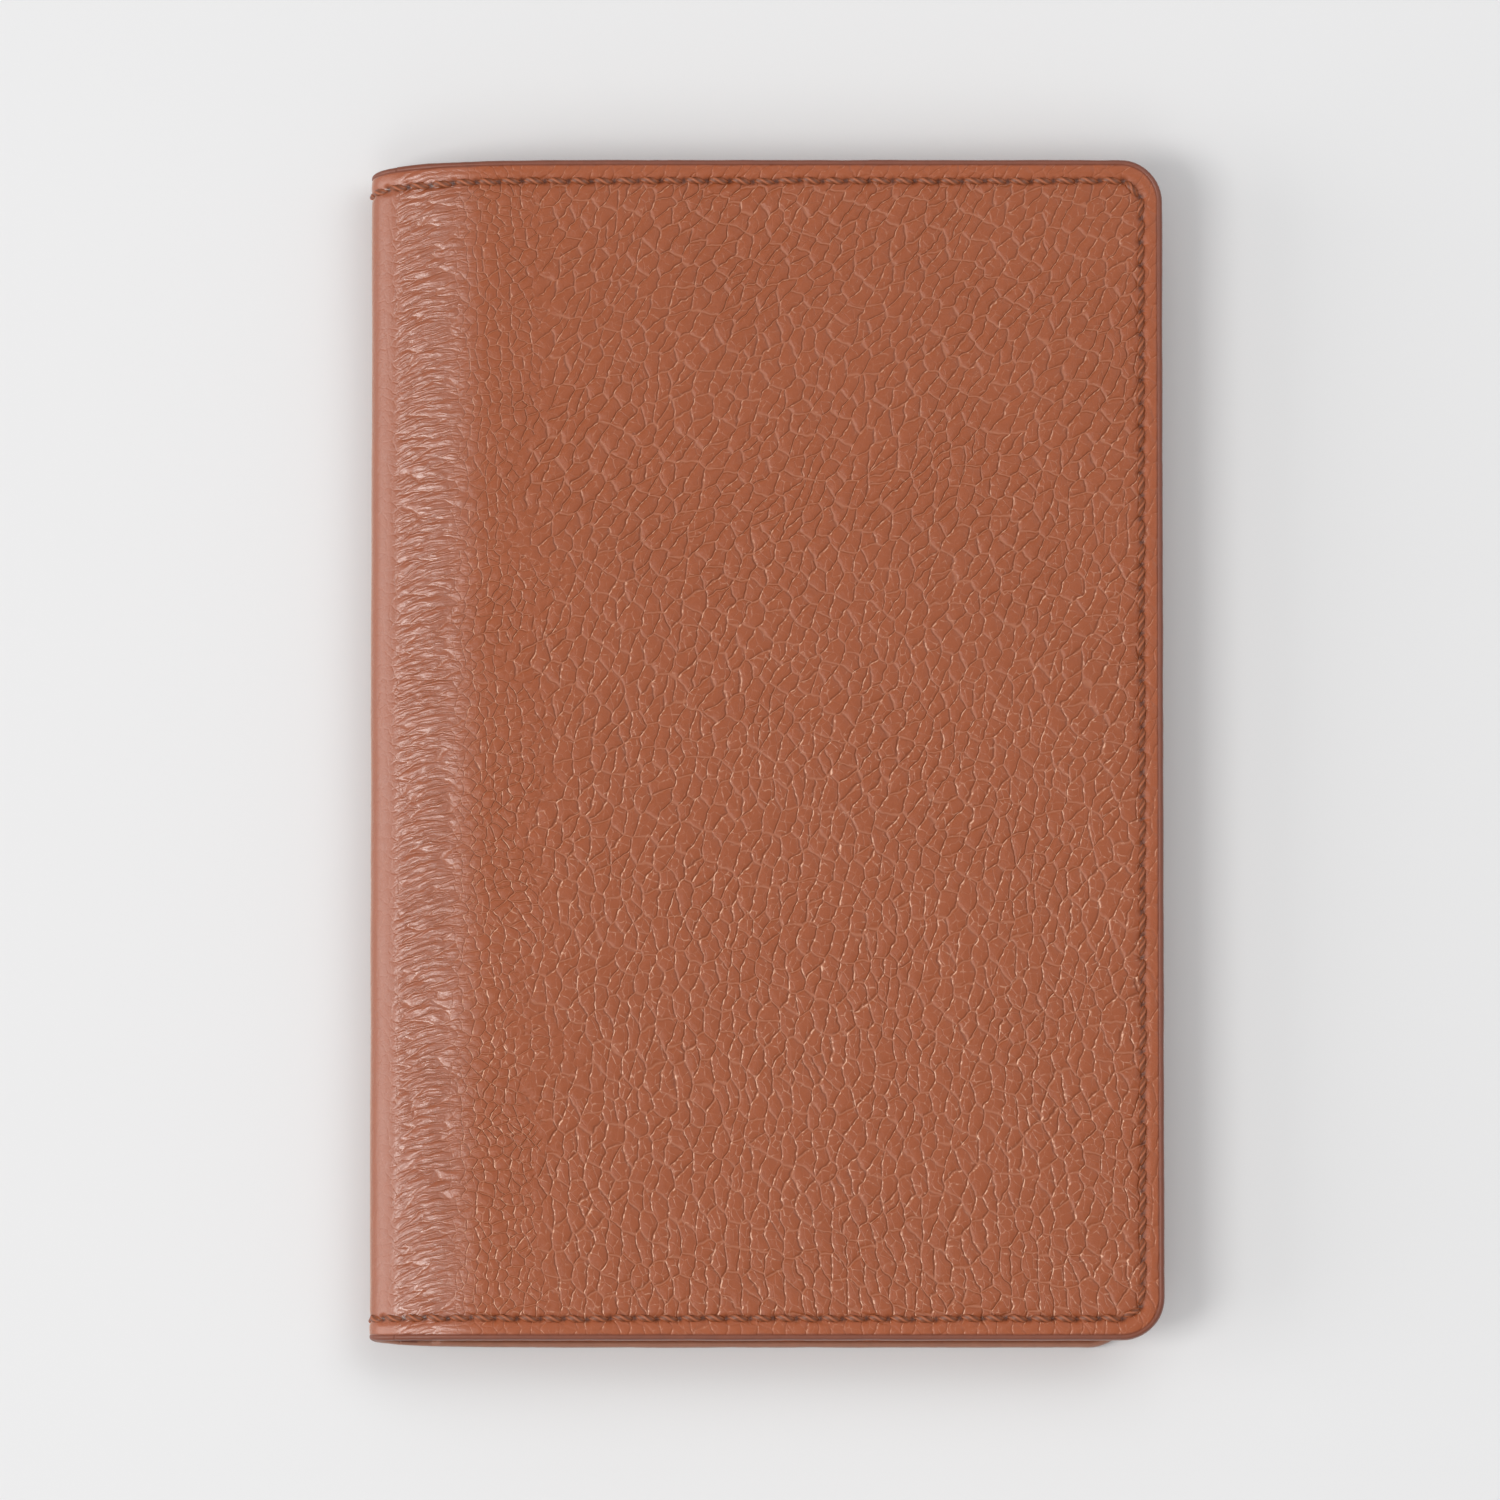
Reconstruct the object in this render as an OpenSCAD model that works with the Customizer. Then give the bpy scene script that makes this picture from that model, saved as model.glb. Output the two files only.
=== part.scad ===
// Leather cover for a pocket notebook, closed, with a glued notebook held in its two sleeves.
// +X runs from the spine to the fore-edge, +Y to the head, +Z up through the front cover.
// The origin is on the resting plane, under the centre of the closed cover.

/* [Cover] */
// closed width, spine to front fore-edge
cover_w = 99.2; // [96:0.1:110]
// height of each cover, head to tail
cover_h = 148; // [120:0.5:190]
// closed thickness
cover_t = 12; // [11.5:0.1:14]
// radius of the four fore-edge corners
corner_r = 5.3; // [4:0.1:10]
// how far the front cover reaches past the back one
overhang = 4; // [0:0.1:5]
// how far the back cover lies toward the tail of the front one
tail_slip = 0.5; // [0:0.1:1]

/* [Spine] */
// distance over which the covers slope down to the spine
shoulder_w = 28; // [20:1:40]
// how tightly the spine is rounded
nose_power = 2.1; // [1.8:0.1:2.6]
// how far the head end is cut in at the spine
waist_head = 1.2; // [0:0.1:2]
// how far the tail end is cut in at the spine
waist_tail = 0.45; // [0:0.05:2]

/* [Layers] */
// outer leather
leather_t = 1; // [0.8:0.1:1.4]
// stiffening board
board_t = 0.35; // [0.2:0.05:0.5]
// lining, with the board let into it
lining_t = 0.6; // [0.6:0.1:0.8]
// leather of the inner sleeves at their sewn edge
sleeve_t = 0.9; // [0.7:0.1:1.1]
// thickness of the coat on the cut edges
paint_t = 0.4; // [0.2:0.1:0.6]

/* [Stitching] */
// distance of the row from the edge
stitch_margin = 2.7; // [2:0.1:4]
// distance from one stitch to the next
stitch_pitch = 2.9; // [2:0.1:4]
// length of one stitch
stitch_len = 2; // [1.2:0.1:2.6]
// width of the thread
thread_w = 0.5; // [0.3:0.05:0.7]

/* [Notebook] */
// height of the pages
page_h = 138; // [110:0.5:138.5]
// width of the pages
page_w = 81.5; // [70:0.5:81.5]
// thickness of each notebook cover
card_t = 0.3; // [0.2:0.05:0.35]
// half the thickness of the closed page block at its spine
block_spine = 2.2; // [1.8:0.1:2.3]
// half the thickness of the closed page block at its fore-edge
block_fore = 3.2; // [2.4:0.1:3.3]

/* [Hidden] */
$fn = 64;
half_t = cover_t / 2;
spine_x = -cover_w / 2;
fore_front = cover_w / 2;
fore_back = fore_front - overhang;
mouth_x = spine_x + 7.9;
board_x = spine_x + 13;
board_margin = 4.4;
slot_margin = 4;
wall_t = leather_t + lining_t;
stack_t = wall_t + sleeve_t;
groove_d = 0.3;
groove_w = 0.9;
thread_d = 0.25;
thread_sink = 0.04;
inner_stitch_len = 0.8;
panel_t = 0.51;
middle_t = 0.16;
fold_gap_t = 0.007;
panel_in = middle_t + fold_gap_t;
panel_out = panel_t - fold_gap_t;
middle_out = middle_t - fold_gap_t;
curve_steps = 9;
waist_steps = 12;
block_x = spine_x + 9.4;
page_gap = 0.06;
turning_share = 0.25;
tape_t = 0.2;
fit_gap = 0.02;
tape_gap = 0.15;
front = 1;
back = -1;

leather_c = [0.62, 0.36, 0.26];
lining_c = [0.45, 0.3, 0.22];
paint_c = [0.5, 0.28, 0.2];
thread_c = [0.35, 0.17, 0.1];
board_c = [0.6, 0.56, 0.5];
card_c = [0.75, 0.66, 0.52];
paper_c = [0.95, 0.93, 0.87];

// The outer surface in section: t is -1 where the back cover turns flat, 0 on the spine, 1 on the front.
function fall(a) = half_t * pow(1 - a, nose_power);
function rise_rate(a) = a < 1 ? half_t * nose_power * pow(1 - a, nose_power - 1) : 0;
function run_rate(a) = 2 * shoulder_w * a;
function surface_x(a) = spine_x + shoulder_w * a * a;
function t_at(x) = min(1, sqrt(max(0, x - spine_x) / shoulder_w));
function side_of(t) = t < 0 ? back : front;
function slope(a) = atan2(rise_rate(a), run_rate(a));
function wall_point(t, depth) =
    let (a = abs(t), s = side_of(t))
    [surface_x(a) + depth * sin(slope(a)),
     half_t + s * (half_t - fall(a) - depth * cos(slope(a)))];

function fore_of(s) = s == front ? fore_front : fore_back;
function centre_of(s) = s * tail_slip / 2;

// Where each cover begins, past its fold.
fold_x = surface_x(panel_t + fold_gap_t);

// Section of one layer between two places on the spine curve.
module curve_section(t0, t1, depth0, depth1) {
    steps = [for (i = [0:curve_steps]) t0 + (t1 - t0) * i / curve_steps];
    outer = [for (t = steps) wall_point(t, depth0)];
    inner = [for (i = [curve_steps:-1:0]) wall_point(steps[i], depth1)];
    polygon(concat(outer, inner));
}

// Section of one layer of a cover, from x0 on its slope, or on its flat, to x1.
module cover_section(s, x0, x1, depth0, depth1) {
    a0 = t_at(x0);
    steps = a0 < 1 ? [for (i = [0:curve_steps]) s * (a0 + (1 - a0) * i / curve_steps)] : [];
    z0 = half_t + s * (half_t - depth0);
    z1 = half_t + s * (half_t - depth1);
    flat_start = a0 < 1 ? [] : [x0];
    outer = concat([for (t = steps) wall_point(t, depth0)], [for (x = flat_start) [x, z0]]);
    inner = concat([for (t = steps) wall_point(t, depth1)], [for (x = flat_start) [x, z1]]);
    last = len(inner) - 1;
    polygon(concat(outer, [[x1, z0], [x1, z1]], [for (i = [last:-1:0]) inner[i]]));
}

// Outline of a cover seen from above, drawn in by inset; s = 0 gives the spine's own outline.
module outline(s, inset) {
    fore = fore_of(s) - inset;
    half_h = cover_h / 2 - inset;
    cy = centre_of(s);
    r = max(0.5, corner_r - inset);
    waist = [for (i = [0:waist_steps]) i / waist_steps];
    head = [for (a = waist) [surface_x(a), cy + half_h - waist_head * pow(1 - a, nose_power)]];
    tail = [for (a = waist) [surface_x(1 - a), cy - half_h + waist_tail * pow(a, nose_power)]];
    difference() {
        polygon(concat([[spine_x - 2, head[0][1]]], head,
                       [[fore, cy + half_h], [fore, cy - half_h]],
                       tail, [[spine_x - 2, tail[waist_steps][1]]]));
        for (end = [-1, 1]) {
            translate([fore, cy + end * half_h]) rotate(end > 0 ? 180 : 90) corner_waste(r);
        }
    }
}

// What a rounded corner takes off a square one that opens along +X and +Y.
module corner_waste(r) {
    difference() {
        translate([-1, -1]) square(r + 1);
        translate([r, r]) circle(r);
    }
}

module through_section() {
    rotate([90, 0, 0]) linear_extrude(height = 2 * cover_h, center = true) children();
}

module through_plan() {
    translate([0, 0, -1]) linear_extrude(height = cover_t + 2) children();
}

module cover_layer(s, x0, depth0, depth1, inset) {
    intersection() {
        through_section() cover_section(s, x0, fore_of(s) - inset, depth0, depth1);
        through_plan() outline(s, inset);
    }
}

module strip_layer(t0, t1, depth0, depth1, inset) {
    intersection() {
        through_section() curve_section(t0, t1, depth0, depth1);
        through_plan() outline(0, inset);
    }
}

// Band between two insets of the outline, used for the painted edge and the stitch groove.
module band(s, inset0, inset1) {
    through_plan() difference() {
        outline(s, inset0);
        outline(s, inset1);
    }
}

module groove(s) {
    band(s, stitch_margin - groove_w / 2, stitch_margin + groove_w / 2);
}

module cover_leather(s) {
    difference() {
        cover_layer(s, fold_x, 0, leather_t, paint_t);
        intersection() {
            through_section() cover_section(s, fold_x - 0.5, fore_of(s), -0.1, groove_d);
            groove(s);
        }
    }
}

module board(s) {
    cover_layer(s, board_x, leather_t + fit_gap, leather_t + fit_gap + board_t, board_margin);
}

module cover_lining(s) {
    difference() {
        cover_layer(s, fold_x, leather_t, wall_t, paint_t);
        board(s);
    }
}

module card_space(s) {
    cover_layer(s, mouth_x - 1, wall_t, wall_t + card_t + 0.1, slot_margin);
}

module sleeve(s) {
    difference() {
        cover_layer(s, mouth_x, wall_t, stack_t, paint_t);
        card_space(s);
    }
}

module cover_paint(s) {
    difference() {
        union() {
            cover_layer(s, fold_x, 0, wall_t, 0);
            cover_layer(s, mouth_x, wall_t, stack_t, 0);
        }
        through_plan() outline(s, paint_t);
    }
}

// One stitch: a bar lying along the surface in the groove, and its twin on the inner face.
module stitch_bar(len, inner_len, inner_depth) {
    translate([-len / 2, -thread_w / 2, -thread_d])
        cube([len, thread_w, thread_d]);
    translate([-inner_len / 2, -thread_w / 2, -inner_depth - thread_d])
        cube([inner_len, thread_w, thread_d]);
}

// A stitch across the surface curve, with a shorter twin where the inner face is hollow.
module stitch_on_curve(t, y, inner_len, inner_depth) {
    s = side_of(t);
    p = wall_point(t, thread_sink);
    translate([p[0], y, p[1]])
        rotate([0, -s * slope(abs(t)), 0])
            rotate([s == front ? 0 : 180, 0, 0])
                stitch_bar(stitch_len, inner_len, inner_depth);
}

function waist_y(s, a, end) =
    centre_of(s) + end * (cover_h / 2 - stitch_margin)
    - (end > 0 ? waist_head : -waist_tail) * pow(1 - a, nose_power);

module cover_stitching(s) {
    run = fore_of(s) - corner_r - mouth_x;
    row = floor(run / stitch_pitch);
    for (end = [-1, 1]) {
        for (i = [0:row]) {
            x = mouth_x + 1 + i * run / (row + 0.5);
            stitch_on_curve(s * t_at(x), waist_y(s, t_at(x), end), stitch_len, stack_t + thread_sink);
        }
    }
    side_h = cover_h - 2 * corner_r;
    side = floor(side_h / stitch_pitch);
    z = half_t + s * (half_t - thread_sink);
    for (i = [0:side]) {
        translate([fore_of(s) - stitch_margin, centre_of(s) + side_h * (i / side - 0.5), z])
            rotate([s == front ? 0 : 180, 0, 90])
                stitch_bar(stitch_len, stitch_len, stack_t);
    }
    for (end = [-1, 1]) {
        bend = (corner_r - stitch_margin) * sqrt(0.5);
        translate([fore_of(s) - corner_r + bend, centre_of(s) + end * (cover_h / 2 - corner_r + bend), z])
            rotate([s == front ? 0 : 180, 0, -45 * end])
                stitch_bar(stitch_len * 0.7, stitch_len * 0.7, stack_t);
    }
}

module strip_leather(t0, t1) {
    difference() {
        strip_layer(t0, t1, 0, leather_t, paint_t);
        intersection() {
            through_section() curve_section(t0 - 0.02, t1 + 0.02, -0.1, groove_d);
            groove(0);
        }
    }
}

module strip_paint(t0, t1) {
    difference() {
        strip_layer(t0, t1, 0, wall_t, 0);
        through_plan() outline(0, paint_t);
    }
}

module strip_stitching(places) {
    for (t = places, end = [-1, 1]) {
        stitch_on_curve(t, waist_y(0, abs(t), end), inner_stitch_len, wall_t + 0.1);
    }
}

function block_half(x) = block_spine + (block_fore - block_spine) * (x - block_x) / page_w;

// Page stack between two shares of the block's half thickness; it is thicker at the fore-edge.
module leaves(s, share0, share1, x0) {
    x1 = block_x + page_w;
    through_pages() polygon([
        [x0, half_t + s * (share0 * block_half(x0) + page_gap)],
        [x1, half_t + s * (share0 * block_half(x1) + page_gap)],
        [x1, half_t + s * (share1 * block_half(x1) - page_gap)],
        [x0, half_t + s * (share1 * block_half(x0) - page_gap)]]);
}

module through_pages() {
    rotate([90, 0, 0]) linear_extrude(height = page_h, center = true) children();
}

module card(s) {
    intersection() {
        through_section()
            cover_section(s, mouth_x + 1.2, block_x + page_w, wall_t + 0.05, wall_t + 0.05 + card_t);
        through_plan() translate([spine_x, -page_h / 2 - 0.5]) square([cover_w, page_h + 1]);
    }
}

module spine_tape(s) {
    edge = block_spine - 2 * page_gap;
    translate([block_x - tape_t, -page_h / 2, s == front ? half_t + tape_gap : half_t - edge])
        cube([tape_t, page_h, edge - tape_gap]);
}

module back_leather() color(leather_c) cover_leather(back);
module back_board() color(board_c) board(back);
module back_lining() color(lining_c) cover_lining(back);
module back_sleeve() color(leather_c) sleeve(back);
module back_edge_paint() color(paint_c) cover_paint(back);
module back_stitching() color(thread_c) cover_stitching(back);
module notebook_back_cover() color(card_c) card(back);
module notebook_back_spine_tape() color(thread_c) spine_tape(back);
module notebook_back_leaves() color(paper_c) leaves(back, 0, 1, block_x);

module spine_back_leather() color(leather_c) strip_leather(-panel_out, -panel_in);
module spine_back_lining() color(lining_c)
    strip_layer(-panel_out, -panel_in, leather_t, wall_t, paint_t);
module spine_back_edge_paint() color(paint_c) strip_paint(-panel_out, -panel_in);
module spine_back_stitching() color(thread_c) strip_stitching([-0.42, -0.27]);

module spine_middle_leather() color(leather_c) strip_leather(-middle_out, middle_out);
module spine_middle_lining() color(lining_c)
    strip_layer(-middle_out, middle_out, leather_t, wall_t, paint_t);
module spine_middle_edge_paint() color(paint_c) strip_paint(-middle_out, middle_out);
module spine_middle_stitching() color(thread_c) strip_stitching([0]);

module spine_front_leather() color(leather_c) strip_leather(panel_in, panel_out);
module spine_front_lining() color(lining_c)
    strip_layer(panel_in, panel_out, leather_t, wall_t, paint_t);
module spine_front_edge_paint() color(paint_c) strip_paint(panel_in, panel_out);
module spine_front_stitching() color(thread_c) strip_stitching([0.27, 0.42]);

module front_leather() color(leather_c) cover_leather(front);
module front_board() color(board_c) board(front);
module front_lining() color(lining_c) cover_lining(front);
module front_sleeve() color(leather_c) sleeve(front);
module front_edge_paint() color(paint_c) cover_paint(front);
module front_stitching() color(thread_c) cover_stitching(front);
module notebook_front_cover() color(card_c) card(front);
module notebook_front_spine_tape() color(thread_c) spine_tape(front);
module notebook_front_leaves() color(paper_c) leaves(front, turning_share, 1, block_x);
module notebook_turning_leaves() color(paper_c) leaves(front, 0, turning_share, block_x + 0.3);

back_leather();
back_board();
back_lining();
back_sleeve();
back_edge_paint();
back_stitching();
notebook_back_cover();
notebook_back_spine_tape();
notebook_back_leaves();
spine_back_leather();
spine_back_lining();
spine_back_edge_paint();
spine_back_stitching();
spine_middle_leather();
spine_middle_lining();
spine_middle_edge_paint();
spine_middle_stitching();
spine_front_leather();
spine_front_lining();
spine_front_edge_paint();
spine_front_stitching();
front_leather();
front_board();
front_lining();
front_sleeve();
front_edge_paint();
front_stitching();
notebook_front_cover();
notebook_front_spine_tape();
notebook_front_leaves();
notebook_turning_leaves();
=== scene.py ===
import math

import bmesh
import bpy
import numpy as np
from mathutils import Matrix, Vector


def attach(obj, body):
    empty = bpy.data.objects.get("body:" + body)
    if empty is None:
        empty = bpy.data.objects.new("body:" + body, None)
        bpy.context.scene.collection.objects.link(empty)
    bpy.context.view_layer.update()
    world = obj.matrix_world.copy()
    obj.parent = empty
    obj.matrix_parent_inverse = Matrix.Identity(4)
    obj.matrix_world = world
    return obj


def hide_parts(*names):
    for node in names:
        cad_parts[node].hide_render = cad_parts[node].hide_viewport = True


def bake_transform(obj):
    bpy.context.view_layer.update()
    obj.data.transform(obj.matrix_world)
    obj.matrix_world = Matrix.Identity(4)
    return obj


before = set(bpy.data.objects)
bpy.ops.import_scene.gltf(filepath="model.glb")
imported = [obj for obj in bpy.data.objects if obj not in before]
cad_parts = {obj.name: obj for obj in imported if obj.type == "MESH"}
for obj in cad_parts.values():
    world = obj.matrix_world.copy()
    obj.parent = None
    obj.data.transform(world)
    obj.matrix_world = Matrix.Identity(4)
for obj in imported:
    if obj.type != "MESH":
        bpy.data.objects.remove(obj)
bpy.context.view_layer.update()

MM = 0.001

# Sizes in millimetres, the same as the CAD's. A side is 1 for the front cover and -1 for the back one;
# an end is 1 for the head and -1 for the tail.
COVER_W, COVER_H, COVER_T = 99.2, 148.0, 12.0
HALF_T = COVER_T / 2
CORNER_R = 5.3
OVERHANG, SLIP = 4.0, 0.5  # the front cover past the back one, at the fore-edge and at the head
SHOULDER, POWER = 28.0, 2.1  # the slope of the covers down to the spine
WAIST = {1: 1.2, -1: 0.45}  # how far each end is cut in at the spine
LEATHER, WALL, STACK = 1.0, 1.6, 2.5  # depth of the leather, of the lining too, and of the sleeve too
MARGIN, PITCH = 2.7, 2.9  # the stitch row
SPINE_X = -COVER_W / 2
FORE = {1: COVER_W / 2, -1: COVER_W / 2 - OVERHANG}
MOUTH_X = SPINE_X + 7.9  # where the sleeves begin
BLOCK_X, PAGE_W, PAGE_H = SPINE_X + 9.4, 81.5, 138.0
BLOCK_SPINE, BLOCK_FORE = 2.2, 3.2  # half the block's thickness
TURNING = 0.25  # the share of the front half that is turning leaves
PANEL_T, STRIP_T = 0.51, 0.335  # the panels' hinges and the joints beside them, as the section's t
RIM = 0.3  # how far the leather's own edge lies inside the painted one
BEYOND = 4.0  # how far the unrolled surface is continued past each fore-edge

# Base colours, linear.
LEATHER_COLOUR = (0.307, 0.0735, 0.0218)
# Painted shade on the leather, in its creases and stitch holes.
LEATHER_SHADE = (0.08, 0.020, 0.008)
# Painted highlight along the creases.
CREASE_HIGHLIGHT = (0.86, 0.50, 0.34)
PAINT_COLOUR = (0.20, 0.054, 0.026)
# Painted highlight on the side of the painted edge.
PAINT_SIDE_HIGHLIGHT = (0.36, 0.15, 0.09)
THREAD_COLOUR = (0.26, 0.07, 0.024)
PAPER_COLOUR = (0.80, 0.75, 0.63)
# The second lining colour is painted shade in its creases and holes.
LINING_COLOUR, LINING_SHADE = (0.16, 0.06, 0.032), (0.07, 0.025, 0.012)
CARD_COLOUR, BOARD_COLOUR, TAPE_COLOUR = (0.42, 0.29, 0.17), (0.33, 0.28, 0.2), (0.09, 0.05, 0.032)
FLOOR_COLOUR = (0.775, 0.775, 0.78)
SHEEN_TINT = (1.0, 0.81, 0.66, 1)

# Grain, in millimetres: one cell of each pattern along s and along y, and the depth of its relief.
GRAIN_TURN = 0.36  # how far the long pebbles lean toward the fore-edge, in radians
GRAIN_BOW = 0.0021  # how much more they lean toward the head
LONG_S, LONG_Y = 1.75, 2.9
ROUND_S, ROUND_Y = 1.4, 1.5
FOLD_S = 6.0
PEBBLE_DEPTH, FOLD_DEPTH, SWELL_DEPTH = 0.13, 0.24, 0.25
CREASE_DEPTH, SKIN_DEPTH = 0.085, 0.03


def smooth(x, lo, hi):
    """0 below lo, 1 above hi, and a soft step between."""
    t = np.clip((x - lo) / (hi - lo), 0, 1)
    return t * t * (3 - 2 * t)


# ---------------------------------------------------------------- the unrolled outer surface
# s runs along the section from the back fore-edge (negative) over the nose of the spine (0) to
# the front fore-edge; y runs from tail to head; h is the height above the outer surface.
def make_section():
    """The closed cover's outer section at even steps of s: place, outward normal and the CAD's parameter t."""
    a = np.linspace(1, 0, 3000)
    fall = HALF_T * (1 - a) ** POWER
    back = np.stack([SPINE_X + SHOULDER * a * a, fall], 1)
    front = np.stack([back[::-1, 0], COVER_T - fall[::-1]], 1)[1:]
    points = np.concatenate([[[FORE[-1] + BEYOND, 0]], back, front, [[FORE[1] + BEYOND, COVER_T]]])
    length = np.concatenate([[0], np.cumsum(np.hypot(*np.diff(points, axis=0).T))])
    nose = length[len(a)]
    length -= nose
    t = np.concatenate([[-1], -a, a[::-1][1:], [1]])
    even = np.arange(length[0], length[-1], 0.02)
    x, z = (np.interp(even, length, points[:, k]) for k in (0, 1))
    tx, tz = np.gradient(x, even), np.gradient(z, even)
    size = np.hypot(tx, tz)
    return {"s": even, "x": x, "z": z, "nx": -tz / size, "nz": tx / size, "t": np.interp(even, length, t)}


SECTION = make_section()
S_FORE = {1: SECTION["s"][-1] - BEYOND, -1: SECTION["s"][0] + BEYOND}


def along(s, key):
    return np.interp(s, SECTION["s"], SECTION[key])


def place(s, y, h):
    """Points of the wrapped cover, in millimetres."""
    s, y, h = np.broadcast_arrays(np.asarray(s, float), y, h)
    return np.stack([along(s, "x") + along(s, "nx") * h, y, along(s, "z") + along(s, "nz") * h], -1)


def s_at_t(t):
    """t runs from -1 over 0 at the nose to 1, along the curved part only."""
    curved = np.abs(SECTION["t"]) < 1
    return float(np.interp(t, SECTION["t"][curved], SECTION["s"][curved]))


def s_at_x(x, side):
    return s_at_t(side * math.sqrt((x - SPINE_X) / SHOULDER))


def centre_y(s):
    """The back cover lies a little toward the tail of the front one."""
    return SLIP / 2 * (2 * smooth(s, -14, 14) - 1)


def half_y(s, end):
    return COVER_H / 2 - WAIST[end] * (1 - np.clip(np.abs(along(s, "t")), 0, 1)) ** POWER


def fore_gap(s):
    return np.where(s >= 0, S_FORE[1] - s, s - S_FORE[-1])


def y_limit(s, end, inset):
    """The head or tail line, at a distance inside the edge, with its round corners."""
    r = CORNER_R - inset
    reach = np.clip(r - (fore_gap(s) - inset), 0, r)
    return centre_y(s) + end * (half_y(s, end) - inset - (r - np.sqrt(r * r - reach * reach)))


def edge_distance(s, y):
    gap = fore_gap(s)
    side = np.minimum(centre_y(s) + half_y(s, 1) - y, y - centre_y(s) + half_y(s, -1))
    straight = np.minimum(gap, side)
    bend = CORNER_R - np.hypot(CORNER_R - gap, CORNER_R - side)
    return np.where((gap < CORNER_R) & (side < CORNER_R), bend, straight)


# ---------------------------------------------------------------- node helper
class Wires:
    """Short names for the nodes that shader trees and geometry trees share. A value is a number or a socket."""

    def __init__(self, tree):
        self.tree = tree

    def node(self, kind, **settings):
        n = self.tree.nodes.new(kind)
        for k, v in settings.items():
            setattr(n, k, v)
        return n

    def put(self, socket, value):
        if isinstance(value, bpy.types.NodeSocket):
            self.tree.links.new(value, socket)
        else:
            socket.default_value = value

    def math(self, op, a, b=0.0):
        n = self.node("ShaderNodeMath", operation=op)
        self.put(n.inputs[0], a)
        self.put(n.inputs[1], b)
        return n.outputs[0]

    def add(self, *terms):
        total = terms[0]
        for t in terms[1:]:
            total = self.math("ADD", total, t)
        return total

    def mul(self, *terms):
        total = terms[0]
        for t in terms[1:]:
            total = self.math("MULTIPLY", total, t)
        return total

    def step(self, x, lo, hi, a=0.0, b=1.0):
        n = self.node("ShaderNodeMapRange", interpolation_type="SMOOTHSTEP")
        for socket, value in zip(n.inputs, (x, lo, hi, a, b)):
            self.put(socket, value)
        return n.outputs[0]

    def blend(self, f, a, b):
        return self.add(a, self.mul(f, self.math("SUBTRACT", b, a)))

    def split(self, v):
        n = self.node("ShaderNodeSeparateXYZ")
        self.put(n.inputs[0], v)
        return n.outputs[0], n.outputs[1], n.outputs[2]

    def join(self, x, y, z=0.0):
        n = self.node("ShaderNodeCombineXYZ")
        for socket, value in zip(n.inputs, (x, y, z)):
            self.put(socket, value)
        return n.outputs[0]

    def noise(self, v, scale, detail=2.0, rough=0.5, dims="2D"):
        n = self.node("ShaderNodeTexNoise", noise_dimensions=dims)
        self.put(n.inputs["Vector"], v)
        self.put(n.inputs["Scale"], scale)
        self.put(n.inputs["Detail"], detail)
        self.put(n.inputs["Roughness"], rough)
        return n.outputs[0], n.outputs[1]

    def drift(self, v, scale, amount, detail=1.0):
        """Two numbers that wander by about amount."""
        x, y, _ = self.split(self.noise(v, scale, detail)[1])
        return (self.mul(self.math("SUBTRACT", x, 0.5), amount),
                self.mul(self.math("SUBTRACT", y, 0.5), amount))

    def cells(self, v, rand=0.9):
        """How far each point is from the nearest border between cells."""
        n = self.node("ShaderNodeTexVoronoi", voronoi_dimensions="2D", feature="DISTANCE_TO_EDGE")
        self.put(n.inputs["Vector"], v)
        self.put(n.inputs["Scale"], 1.0)
        self.put(n.inputs["Randomness"], rand)
        return n.outputs["Distance"]


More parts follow.
